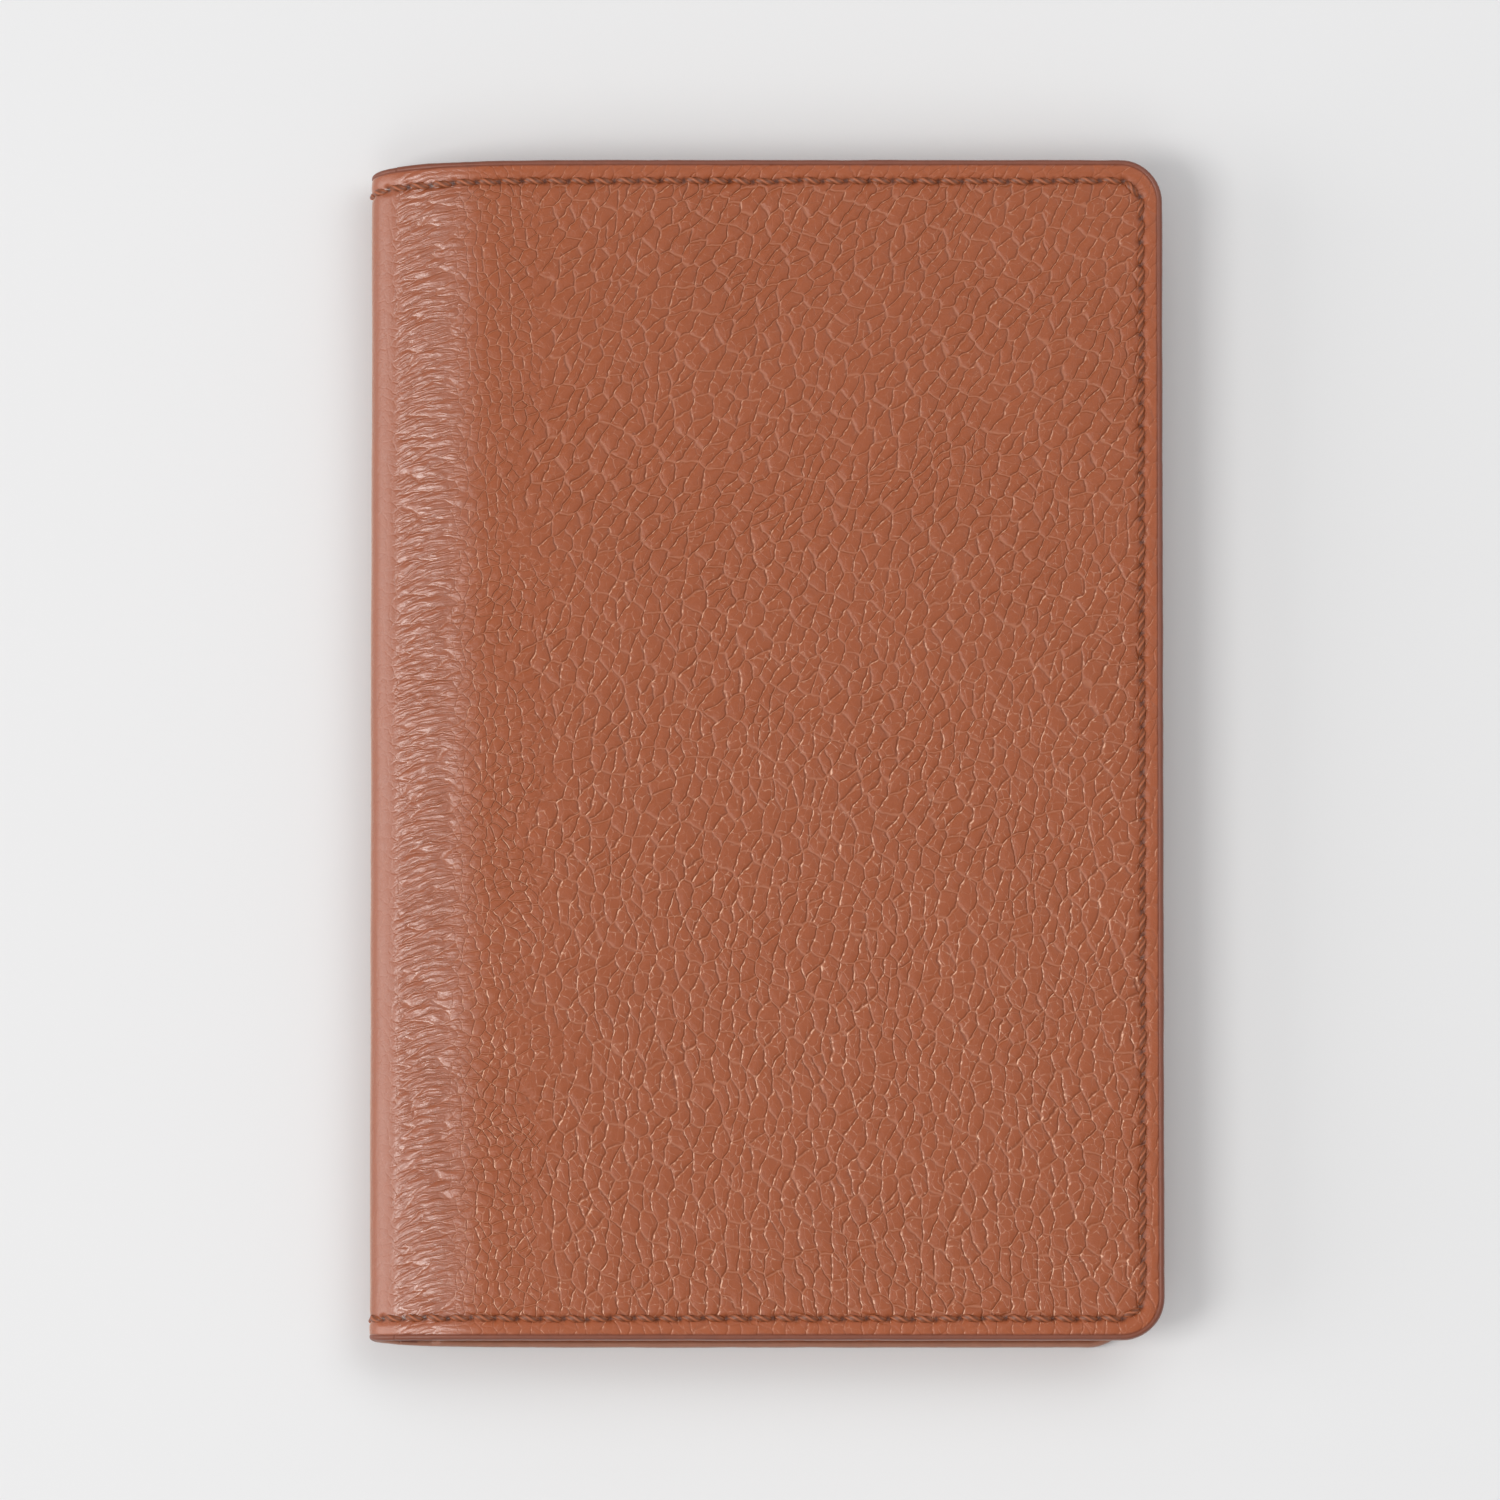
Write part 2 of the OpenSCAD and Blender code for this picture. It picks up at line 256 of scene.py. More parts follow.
def grain(w, flat):
    """Pebbled grain from unrolled coordinates (s, y, distance to the edge), in millimetres.
    Returns the broad relief that the mesh carries, the fine relief for the bump, the creases, and the
    sides of the creases that are given painted highlight and painted shade."""
    s, y, rim = w.split(flat)
    far = w.math("ABSOLUTE", s)
    wide_s, wide_y = w.drift(flat, 0.06, 3.4, 2.0)
    near_s, near_y = w.drift(flat, 0.6, 0.7, 1.0)
    s1 = w.add(s, wide_s, near_s)
    y1 = w.add(y, wide_y, near_y)

    # Long leaning pebbles over the panels, round ones toward the spine, and a net of small creases.
    lean = w.add(w.mul(y1, math.sin(GRAIN_TURN)), w.mul(y1, y1, GRAIN_BOW))
    u = w.mul(w.math("SUBTRACT", w.mul(s1, math.cos(GRAIN_TURN)), lean), 1 / LONG_S)
    v = w.mul(w.add(w.mul(s1, math.sin(GRAIN_TURN)), w.mul(y1, math.cos(GRAIN_TURN))), 1 / LONG_Y)
    round_u, round_v = w.mul(s1, 1 / ROUND_S), w.mul(y1, 1 / ROUND_Y)
    wander = w.mul(w.math("SUBTRACT", w.noise(flat, 0.12, 1.0)[0], 0.5), 14.0)
    by_spine = w.step(w.add(far, wander), 21.0, 25.0, 1.0, 0.0)

    def pebbles(shift):
        return w.blend(by_spine, w.cells(w.join(w.add(u, shift), v), rand=0.82),
                       w.cells(w.join(w.add(round_u, shift), round_v), rand=0.9))

    shift = 0.05
    pebble = pebbles(0.0)
    rise = w.mul(w.math("SUBTRACT", pebbles(shift), pebble), 1 / shift)
    small = w.cells(w.join(w.mul(u, 1.6), w.add(w.mul(v, 2.1), 7.3)))
    line = w.step(pebble, 0.0, 0.12, 1.0, 0.0)
    some = w.step(w.noise(flat, 0.3, 1.0)[0], 0.3, 0.6, 0.3, 1.0)
    thin = w.mul(w.step(small, 0.0, 0.1, 1.0, 0.0), some)

    # Wrinkles that fan out across the shoulder from the spine.
    reach = w.math("SUBTRACT", far, 5.0)
    arch = w.math("SUBTRACT", w.mul(reach, 0.5), w.mul(reach, reach, 0.03))
    fold_s = w.add(w.mul(s, 1 / FOLD_S), w.mul(wide_s, 0.15), w.mul(near_s, 0.25))
    fold_y = w.add(w.math("SUBTRACT", y, arch), w.mul(wide_y, 0.6), w.mul(near_y, 0.7))
    fold = w.cells(w.join(fold_s, fold_y), rand=1.0)
    hair = w.cells(w.join(w.mul(fold_s, 1.5), w.mul(fold_y, 2.1)), rand=1.0)
    strand = w.mul(w.step(hair, 0.0, 0.3, 1.0, 0.0), 0.4)
    wrinkle = w.math("MAXIMUM", w.step(fold, 0.0, 0.16, 1.0, 0.0), strand)

    # Where each pattern shows: none on the smooth nose of the spine, less by the stitches.
    near_spine = w.mul(w.step(far, 4.2, 6.2), w.step(far, 10.5, 16.5, 1.0, 0.0))
    calm = w.mul(w.step(far, 4.0, 6.8, 0.1, 1.0), w.step(rim, 1.6, 3.6, 0.42, 1.0))
    off_fold = w.mul(w.math("SUBTRACT", 1.0, near_spine), calm)
    patch = w.step(w.noise(flat, 0.05, 2.0)[0], 0.35, 0.65, 0.75, 1.1)

    pebble_relief = w.mul(w.math("SUBTRACT", w.step(pebble, 0.0, 0.33), 1.0), PEBBLE_DEPTH)
    fold_relief = w.mul(w.math("SUBTRACT", w.step(fold, 0.0, 0.45), 1.0), FOLD_DEPTH)
    swell = w.mul(w.math("SUBTRACT", w.noise(flat, 0.035, 2.0)[0], 0.5), SWELL_DEPTH)
    broad = w.add(w.mul(w.blend(near_spine, pebble_relief, fold_relief), calm, patch),
                  w.mul(swell, w.step(rim, 2.0, 9.0)))

    creases = w.mul(w.blend(near_spine, w.math("MAXIMUM", line, w.mul(thin, 0.3)), wrinkle), calm)
    skin = w.noise(w.join(s, y), 3.2, 3.0, 0.65)[0]
    fine = w.add(w.mul(creases, -CREASE_DEPTH), w.mul(w.math("SUBTRACT", skin, 0.5), SKIN_DEPTH))

    # Painted light: the side of each crease that faces the lamps on the left gets a painted highlight (lit), the
    # other side painted shade (dim).
    lit = w.mul(w.step(rise, 0.35, 0.95), w.step(pebble, 0.0, 0.09, 1.0, 0.0), off_fold)
    lit = w.math("MAXIMUM", lit, w.mul(thin, off_fold, 0.3))
    dim = w.mul(w.step(rise, -0.85, -0.25, 1.0, 0.0), w.step(pebble, 0.0, 0.2, 1.0, 0.0), off_fold)
    return broad, w.mul(fine, patch), creases, lit, dim


def evaluate_grain(flat):
    """The broad relief at each point, worked out by a geometry tree with the material's own nodes."""
    mesh = bpy.data.meshes.new("grain_probe")
    mesh.vertices.add(len(flat))
    flat_store = mesh.attributes.new("flat", "FLOAT_VECTOR", "POINT")
    flat_store.data.foreach_set("vector", flat.astype(np.float32).ravel())
    probe = bpy.data.objects.new("grain_probe", mesh)
    bpy.context.scene.collection.objects.link(probe)
    tree = bpy.data.node_groups.new("grain_probe", "GeometryNodeTree")
    tree.interface.new_socket(name="Geometry", in_out="INPUT", socket_type="NodeSocketGeometry")
    tree.interface.new_socket(name="Geometry", in_out="OUTPUT", socket_type="NodeSocketGeometry")
    w = Wires(tree)
    start, end = w.node("NodeGroupInput"), w.node("NodeGroupOutput")
    read = w.node("GeometryNodeInputNamedAttribute", data_type="FLOAT_VECTOR")
    read.inputs["Name"].default_value = "flat"
    store = w.node("GeometryNodeStoreNamedAttribute", data_type="FLOAT", domain="POINT")
    store.inputs["Name"].default_value = "grain"
    w.put(store.inputs["Geometry"], start.outputs[0])
    w.put(store.inputs["Value"], grain(w, read.outputs[0])[0])
    w.put(end.inputs[0], store.outputs[0])
    modifier = probe.modifiers.new("grain", "NODES")
    modifier.node_group = tree
    made = probe.evaluated_get(bpy.context.evaluated_depsgraph_get()).data
    out = np.zeros(len(flat), np.float32)
    made.attributes["grain"].data.foreach_get("value", out)
    bpy.data.objects.remove(probe)
    bpy.data.meshes.remove(mesh)
    bpy.data.node_groups.remove(tree)
    return out.astype(float)


# ---------------------------------------------------------------- meshes
def new_piece(name, points, faces, flat=None, pit=None, normals=None, material=None):
    """A mesh from points in millimetres, with the attributes that its material reads."""
    mesh = bpy.data.meshes.new(name)
    mesh.from_pydata((np.asarray(points) * MM).tolist(), [], faces)
    if flat is not None:
        mesh.attributes.new("flat", "FLOAT_VECTOR", "POINT").data.foreach_set(
            "vector", np.asarray(flat, np.float32).ravel())
    if pit is not None:
        mesh.attributes.new("pit", "FLOAT", "POINT").data.foreach_set("value", np.asarray(pit, np.float32))
    mesh.polygons.foreach_set("use_smooth", [True] * len(mesh.polygons))
    mesh.validate()
    if normals is not None:
        mesh.normals_split_custom_set_from_vertices(np.asarray(normals).tolist())
    obj = bpy.data.objects.new(name, mesh)
    bpy.context.scene.collection.objects.link(obj)
    if material:
        obj.data.materials.append(material)
    return obj


def grid_faces(columns, rows, flip=False):
    i, j = np.meshgrid(np.arange(columns - 1), np.arange(rows - 1), indexing="ij")
    a = i * rows + j
    quads = np.stack([a, a + rows, a + rows + 1, a + 1], -1).reshape(-1, 4)
    return (quads[:, ::-1] if flip else quads).tolist()


def grid_normals(p):
    n = np.cross(np.gradient(p, axis=0), np.gradient(p, axis=1))
    return n / (np.linalg.norm(n, axis=-1, keepdims=True) + 1e-12)


def slab_piece(name, s, y, h, under, normals, pit, material, inward=False):
    """A closed slab from a grid of surface points; the face beneath it joins the columns' ends only."""
    columns, rows = s.shape
    ends = [0, -1]
    top = place(s, y, h)
    low = place(s[:, ends], y[:, ends], under)
    top_n = columns * rows
    faces = grid_faces(columns, rows, flip=inward)
    low_id = top_n + np.arange(columns * 2).reshape(columns, 2)
    top_id = np.arange(top_n).reshape(columns, rows)
    sides = []
    for i in range(columns - 1):
        sides.append([low_id[i, 0], low_id[i, 1], low_id[i + 1, 1], low_id[i + 1, 0]])
        sides.append([top_id[i, 0], low_id[i, 0], low_id[i + 1, 0], top_id[i + 1, 0]])
        sides.append([top_id[i + 1, -1], low_id[i + 1, 1], low_id[i, 1], top_id[i, -1]])
    sides.append([*top_id[0, ::-1], low_id[0, 0], low_id[0, 1]])
    sides.append([*top_id[-1, :], low_id[-1, 1], low_id[-1, 0]])
    if inward:
        sides = [f[::-1] for f in sides]
    faces += [[int(k) for k in f] for f in sides]
    points = np.concatenate([top.reshape(-1, 3), low.reshape(-1, 3)])
    rim = edge_distance(s, y)
    flat = np.concatenate([np.stack([s, y, rim], -1).reshape(-1, 3), np.zeros((columns * 2, 3))])
    flat[top_n:, 0] = np.repeat(s[:, 0], 2)
    flat[top_n:, 1] = y[:, ends].ravel()
    low_normals = np.repeat(normals[:, :1], 2, axis=1).reshape(-1, 3) * -1
    pit_all = np.concatenate([pit.ravel(), np.zeros(columns * 2)]) if pit is not None else None
    return new_piece(name, points, faces, flat, pit_all,
                     np.concatenate([normals.reshape(-1, 3), low_normals]), material)


def tube(name, rings, flat, material):
    """One mesh from one or more runs of rings; every ring has the same number of points."""
    points, faces, flats, start = [], [], [], 0
    for run, run_flat in zip(rings, flat):
        count, around = run.shape[:2]
        for i in range(count - 1):
            for j in range(around):
                k = (j + 1) % around
                faces.append([start + i * around + j, start + i * around + k,
                              start + (i + 1) * around + k, start + (i + 1) * around + j])
        faces.append([start + j for j in range(around)][::-1])
        faces.append([start + (count - 1) * around + j for j in range(around)])
        points.append(run.reshape(-1, 3))
        flats.append(run_flat.reshape(-1, 3))
        start += count * around
    return new_piece(name, np.concatenate(points), faces, np.concatenate(flats), material=material)


# ---------------------------------------------------------------- materials
def new_material(name):
    mat = bpy.data.materials.new(name)
    mat.use_nodes = True
    w = Wires(mat.node_tree)
    shader = mat.node_tree.nodes["Principled BSDF"]
    return mat, w, shader


def attribute(w, name):
    """A mesh attribute, as a vector and as a number."""
    n = w.node("ShaderNodeAttribute", attribute_name=name)
    return n.outputs["Vector"], n.outputs["Fac"]


def tint(w, base, factor):
    """The base colour times a factor from nodes."""
    n = w.node("ShaderNodeVectorMath", operation="SCALE")
    w.put(n.inputs[0], base)
    w.put(n.inputs["Scale"], factor)
    return n.outputs[0]


def lay(w, f, low, high):
    """The colour low where f is 0 and high where it is 1."""
    n = w.node("ShaderNodeMix", data_type="RGBA")
    w.put(n.inputs[0], f)
    w.put(n.inputs[6], low if isinstance(low, bpy.types.NodeSocket) else (*low, 1))
    w.put(n.inputs[7], high if isinstance(high, bpy.types.NodeSocket) else (*high, 1))
    return n.outputs[2]


def raise_bump(w, shader, height, millimetres=1.0):
    n = w.node("ShaderNodeBump")
    n.inputs["Strength"].default_value = 1.0
    n.inputs["Distance"].default_value = MM * millimetres
    w.put(n.inputs["Height"], height)
    w.put(shader.inputs["Normal"], n.outputs[0])


def leather_material(name, colour, dark, grained=True):
    mat, w, shader = new_material(name)
    flat, _ = attribute(w, "flat")
    _, pit = attribute(w, "pit")
    s, y, rim = w.split(flat)
    far = w.math("ABSOLUTE", s)
    patch = w.noise(flat, 0.045, 3.0, 0.55)[0]
    cloud = w.noise(flat, 0.4, 3.0, 0.6)[0]
    mottle = w.noise(flat, 2.2, 3.0, 0.7)[0]
    if grained:
        _, fine, creases, lit, dim = grain(w, flat)
    else:
        skin = w.noise(flat, 2.6, 4.0, 0.65)[0]
        fine = w.mul(w.math("SUBTRACT", skin, 0.5), SKIN_DEPTH)
        creases = w.step(w.cells(w.join(w.mul(s, 1.5), w.mul(y, 1.5))), 0.0, 0.1, 0.35, 0.0)
        # Painted highlight and painted shade along the creases of the smooth leather too.
        lit, dim = w.mul(creases, 0.2), w.mul(creases, 0.3)

    # Colour: clouded hide, a lighter margin, painted shade and painted highlights on the two sides of the
    # creases, painted edge, painted shade in the holes.
    tone = w.add(0.86, w.mul(patch, 0.07), w.mul(cloud, 0.09), w.mul(mottle, 0.14),
                 w.step(rim, 1.9, 2.9, 0.08, 0.0))
    # Painted shade on the dim side of each crease.
    body = lay(w, w.mul(dim, 0.42), tint(w, colour, tone), dark)
    # Painted glints on the lit sides of the creases, stronger toward the tail.
    glint = w.mul(w.step(w.noise(flat, 1.7, 1.0)[0], 0.52, 0.64, 0.2, 1.0), w.step(y, -30.0, 60.0, 1.0, 0.5))
    # A faint lighter tint along every crease: partly the leather's own paler creases, partly painted highlight.
    faint = w.mul(w.math("POWER", creases, 3.0), 0.12, w.step(far, 8.0, 16.0, 0.3, 1.0))
    body = lay(w, w.math("MAXIMUM", w.mul(lit, glint), faint), body, CREASE_HIGHLIGHT)
    painted = w.add(rim, w.mul(w.math("SUBTRACT", cloud, 0.5), 0.25))
    body = lay(w, w.step(painted, 0.62, 0.92, 0.95, 0.0), body, PAINT_COLOUR)
    # Painted shade in the stitch holes.
    w.put(shader.inputs["Base Color"], lay(w, w.math("MINIMUM", w.mul(pit, 0.97), 1.0), body, dark))

    # Gloss: the handled shoulder shines more, and the nose of the spine has a soft nap.
    rough = w.add(0.36, w.mul(cloud, 0.12), w.mul(creases, -0.05))
    w.put(shader.inputs["Roughness"], w.math("SUBTRACT", rough, w.step(far, 10.0, 17.0, 0.1, 0.0)))
    w.put(shader.inputs["Specular IOR Level"],
          w.mul(w.step(far, 10.0, 17.0, 1.1, 0.38), w.step(far, 3.5, 6.0, 0.8, 1.0)))
    w.put(shader.inputs["Sheen Weight"], w.step(far, 3.5, 6.5, 0.95, 0.0))
    shader.inputs["Sheen Roughness"].default_value = 0.35
    shader.inputs["Sheen Tint"].default_value = SHEEN_TINT
    raise_bump(w, shader, fine)
    return mat


def paint_material():
    mat, w, shader = new_material("edge_paint")
    flat, _ = attribute(w, "flat")
    smear = w.noise(flat, 0.7, 3.0, 0.6)[0]
    depth = w.add(w.split(flat)[2], w.mul(smear, 0.2))
    # Painted highlight: the coat is lighter on the edge's side, where it catches the light, than on its top lip.
    coat = lay(w, w.step(depth, -0.4, -0.85), PAINT_COLOUR, PAINT_SIDE_HIGHLIGHT)
    w.put(shader.inputs["Base Color"], tint(w, coat, w.add(0.86, w.mul(smear, 0.28))))
    w.put(shader.inputs["Roughness"], w.add(0.34, w.mul(smear, 0.16)))
    raise_bump(w, shader, w.mul(w.noise(flat, 1.6, 2.0)[0], 0.02))
    return mat


def thread_material():
    mat, w, shader = new_material("thread")
    flat, _ = attribute(w, "flat")
    fuzz = w.noise(flat, 5.0, 3.0, 0.7, "3D")[0]
    _, ply = attribute(w, "ply")
    # Painted shade: the thread is darker in the grooves between its plies.
    tone = w.add(0.5, w.mul(fuzz, 0.4), w.mul(ply, ply, 0.8))  # darker between the plies
    w.put(shader.inputs["Base Color"], tint(w, THREAD_COLOUR, tone))
    w.put(shader.inputs["Roughness"], w.add(0.32, w.mul(fuzz, 0.16)))
    raise_bump(w, shader, w.mul(fuzz, 0.03))
    return mat


def paper_material():
    mat, w, shader = new_material("paper")
    place_at = w.node("ShaderNodeTexCoord").outputs["Object"]
    fibre = w.noise(place_at, 900.0, 4.0, 0.6, "3D")[0]
    wash = w.noise(place_at, 25.0, 2.0, 0.5, "3D")[0]
    w.put(shader.inputs["Base Color"], tint(w, PAPER_COLOUR, w.add(0.93, w.mul(fibre, 0.07), w.mul(wash, 0.05))))
    w.put(shader.inputs["Roughness"], w.add(0.72, w.mul(fibre, 0.16)))
    raise_bump(w, shader, fibre, 0.02)
    return mat


def plain_material(name, colour, scale, relief, rough):
    """Card, board and cloth tape: a fibrous matt surface."""
    mat, w, shader = new_material(name)
    place_at = w.node("ShaderNodeTexCoord").outputs["Object"]
    fibre = w.noise(place_at, scale, 5.0, 0.65, "3D")[0]
    fleck = w.noise(place_at, scale * 0.22, 2.0, 0.5, "3D")[0]
    w.put(shader.inputs["Base Color"], tint(w, colour, w.add(0.78, w.mul(fibre, 0.3), w.mul(fleck, 0.14))))
    w.put(shader.inputs["Roughness"], w.add(rough, w.mul(fibre, 0.18)))
    raise_bump(w, shader, fibre, relief)
    return mat


LEATHER_SKIN = leather_material("pebbled_leather", LEATHER_COLOUR, LEATHER_SHADE)
SLEEVE_SKIN = leather_material("smooth_leather", LEATHER_COLOUR, LEATHER_SHADE, grained=False)
LINING_SKIN = leather_material("split_lining", LINING_COLOUR, LINING_SHADE, grained=False)
PAINT = paint_material()
THREAD = thread_material()
PAPER = paper_material()
CARD = plain_material("notebook_card", CARD_COLOUR, 700.0, 0.03, 0.6)
BOARD = plain_material("board", BOARD_COLOUR, 500.0, 0.04, 0.7)
TAPE = plain_material("spine_tape", TAPE_COLOUR, 1500.0, 0.05, 0.7)

# ---------------------------------------------------------------- stitch row and holes
# The second is the reach of the painted shade in each hole.
DIP_R, HOLE_R = 0.44, 0.38  # the pressed dip round each hole, and the dark of the hole
ROW_REACH = 1.6  # how far from the row the holes are felt
STRAY = 0.05  # how far the holes stray from an even row
rng = np.random.default_rng(7)


def outline_loop(inset, step=0.1):
    """The closed line at one distance inside the whole unrolled edge, from the back's head corner round."""
    r = CORNER_R - inset
    far = {side: S_FORE[side] - side * inset for side in (1, -1)}
    corner = {side: far[side] - side * r for side in (1, -1)}
    turn = np.linspace(0, math.pi / 2, 60)
    head_s = np.arange(corner[-1], corner[1], step)
    front_s = corner[1] + r * np.sin(turn)
    back_s = corner[-1] - r * np.sin(turn)

    def across(s, end):
        return np.stack([s, y_limit(s, end, inset)], 1)

    def down(side, y):
        return np.stack([np.full(len(y), far[side]), y], 1)

    front_corner, back_corner = across(front_s, 1), across(back_s, -1)
    front_y = np.arange(front_corner[-1, 1], -front_corner[-1, 1] + 2 * centre_y(far[1]), -step)
    back_top = float(y_limit(np.array([far[-1]]), 1, inset)[0])
    back_y = np.arange(back_corner[-1, 1], back_top, step)
    loop = np.concatenate([
        across(head_s, 1), front_corner, down(1, front_y), across(front_s[::-1], -1),
        across(head_s[::-1], -1), back_corner, down(-1, back_y), across(back_s[::-1], 1)])
    keep = np.concatenate([[True], np.hypot(*np.diff(loop, axis=0).T) > 1e-4])
    return loop[keep]


def evenly(line, count):
    """Points at even steps along a closed line, and the line's length."""
    ends = np.concatenate([line, line[:1]])
    length = np.concatenate([[0], np.cumsum(np.hypot(*np.diff(ends, axis=0).T))])
    where = np.arange(count) * length[-1] / count
    return np.stack([np.interp(where, length, ends[:, k]) for k in (0, 1)], 1), length[-1]


STITCH_LINE = outline_loop(MARGIN)
_, STITCH_RUN = evenly(STITCH_LINE, 4)
STITCH_COUNT = round(STITCH_RUN / PITCH)
HOLES, _ = evenly(STITCH_LINE, STITCH_COUNT)
HOLES = HOLES + rng.normal(0, STRAY, HOLES.shape)


def near_holes(s, y):
    """How deep each surface point is pressed in by the holes, and how much painted shade of the holes it gets.
    """
    dip, dark = np.zeros(s.shape), np.zeros(s.shape)
    close = np.abs(edge_distance(s, y) - MARGIN) < ROW_REACH
    points = np.stack([s[close], y[close]], 1)
    best = np.full(len(points), 9.0)
    for k in range(0, len(HOLES), 40):
        away = points[:, None] - HOLES[None, k:k + 40]
        best = np.minimum(best, np.hypot(away[..., 0], away[..., 1]).min(1))
    dip[close] = np.exp(-((best / DIP_R) ** 2))
    dark[close] = np.exp(-((best / HOLE_R) ** 4))
    return dip, dark


# ---------------------------------------------------------------- outer leather
def even_steps(a, b, step):
    return np.linspace(a, b, max(2, int(round(abs(b - a) / step)) + 1))


def join_steps(*runs):
    return np.concatenate([runs[0]] + [r[1:] for r in runs[1:]])


def corner_steps(side, inset, count):
    """Places along s that follow a fore-edge corner evenly round its arc."""
    r = CORNER_R - inset
    return S_FORE[side] - side * (inset + r - r * np.sin(np.linspace(0, math.pi / 2, count)))


def row_shares(fine, wide, step):
    """Shares of the height, fine over a band at both ends and coarser between."""
    edge = even_steps(0, wide, fine)
    middle = even_steps(wide, COVER_H - wide, step)
    return join_steps(edge, middle, COVER_H - edge[::-1]) / COVER_H


def sheet_grid(columns, shares, inset):
    """s and y of a grid whose columns are at given s and whose rows share out each column's height."""
    head, tail = y_limit(columns, 1, inset), y_limit(columns, -1, inset)
    y = tail[:, None] + (head - tail)[:, None] * shares[None]
    return np.repeat(columns[:, None], len(shares), 1), y


S_STRIP = {side: s_at_t(side * STRIP_T) for side in (1, -1)}
FRONT_CORNER, BACK_CORNER = corner_steps(1, RIM, 22), corner_steps(-1, RIM, 22)
COLUMNS = join_steps(
    BACK_CORNER[::-1], even_steps(BACK_CORNER[0], -14, 0.42), even_steps(-14, S_STRIP[-1], 0.28),
    even_steps(S_STRIP[-1], 0, 0.25), even_steps(0, S_STRIP[1], 0.25),
    even_steps(S_STRIP[1], 14, 0.28), even_steps(14, FRONT_CORNER[0], 0.38), FRONT_CORNER)
SHARES = row_shares(0.2, 4.6, 0.4)
S_GRID, Y_GRID = sheet_grid(COLUMNS, SHARES, RIM)
RIM_GRID = edge_distance(S_GRID, Y_GRID)
FLAT_GRID = np.stack([S_GRID, Y_GRID, RIM_GRID], -1).reshape(-1, 3)
DIP, PIT = near_holes(S_GRID, Y_GRID)
RELIEF = evaluate_grain(FLAT_GRID).reshape(S_GRID.shape)
DIP_DEPTH, GROOVE_DEPTH, GROOVE_W = 0.30, 0.13, 0.6
ROLL_DEPTH, ROLL_W = 0.26, 0.85  # how far the edge is rolled down
GROOVE = -GROOVE_DEPTH * np.exp(-(((RIM_GRID - MARGIN) / GROOVE_W) ** 2))
BEAD = 0.05 * np.exp(-(((RIM_GRID - 1.6) / 0.5) ** 2))  # the margin swells between edge and groove
ROLL = -ROLL_DEPTH * (1 - smooth(RIM_GRID, RIM - 0.05, ROLL_W)) + BEAD
UNDER_LIFT = np.where(S_GRID < -20, -0.02, 0)  # holds the back cover's grain off the floor
HEIGHT = RELIEF + GROOVE + ROLL - DIP_DEPTH * DIP + UNDER_LIFT
SURFACE = place(S_GRID, Y_GRID, HEIGHT)
NORMALS = grid_normals(SURFACE)

# The sheet is cut into tiles, each across one hinge: its ends in s and its two bodies.
TILES = {
    "back": (COLUMNS[0], S_STRIP[-1], ("back_cover", "spine_back")),
    "spine_back": (S_STRIP[-1], 0.0, ("spine_back", "spine_middle")),
    "spine_front": (0.0, S_STRIP[1], ("spine_middle", "spine_front")),
    "front": (S_STRIP[1], COLUMNS[-1], ("spine_front", "front_cover")),
}


def on_surface(t):
    """A point of the outer section, in metres."""
    return Vector(place(s_at_t(t), 0.0, 0.0).tolist()) * MM


def bend(obj, tile):
    """Works out the two ends of a tile's hinge, which lies about midway from start to end, and bakes the piece's
    transform; the ends are not used.
    """
    if tile == "back":
        end = on_surface(-STRIP_T)
        start = on_surface(-PANEL_T) * 2 - end
    elif tile == "front":
        start = on_surface(STRIP_T)
        end = on_surface(PANEL_T) * 2 - start
    elif tile == "spine_back":
        start, end = on_surface(-STRIP_T), on_surface(0)
    else:
        start, end = on_surface(0), on_surface(STRIP_T)
    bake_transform(obj)


def tile_columns(columns, tile):
    """Which columns of a sheet belong to a tile."""
    low, high, _ = TILES[tile]
    return np.nonzero((columns >= low - 1e-6) & (columns <= high + 1e-6))[0]


REPLACED = {
    "back": ["back"], "spine_back": ["spine_back"], "front": ["front"],
    "spine_front": ["spine_middle", "spine_front"],
}


def replace_nodes(tile, kind):
    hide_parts(*[f"{part}_{kind}" for part in REPLACED[tile]])


for tile in TILES:
    k = tile_columns(COLUMNS, tile)
    piece = slab_piece(f"outer_leather_{tile}", S_GRID[k], Y_GRID[k], HEIGHT[k], -LEATHER, NORMALS[k], PIT[k],
                       LEATHER_SKIN)
    bend(piece, tile)
    replace_nodes(tile, "leather")

# ---------------------------------------------------------------- lining, sleeves
S_MOUTH = {side: s_at_x(MOUTH_X, side) for side in (1, -1)}
S_TUCK = {side: s_at_x(MOUTH_X + 7, side) for side in (1, -1)}
LINING_COLUMNS = join_steps(even_steps(S_TUCK[-1], S_STRIP[-1], 0.5), even_steps(S_STRIP[-1], 0, 0.3),
                            even_steps(0, S_STRIP[1], 0.3), even_steps(S_STRIP[1], S_TUCK[1], 0.5))
LINING_S, LINING_Y = sheet_grid(LINING_COLUMNS, np.linspace(0, 1, 60), RIM)
LINING_H = np.full(LINING_S.shape, -WALL) + 0.03 * np.sin(LINING_Y * 0.31 + LINING_S * 0.7)
LINING_NORMALS = -grid_normals(place(LINING_S, LINING_Y, LINING_H))
for tile in TILES:
    k = tile_columns(LINING_COLUMNS, tile)
    piece = slab_piece(f"lining_{tile}", LINING_S[k], LINING_Y[k], LINING_H[k], -LEATHER - 0.03,
                       LINING_NORMALS[k], None, LINING_SKIN, inward=True)
    bend(piece, tile)
    replace_nodes(tile, "lining")

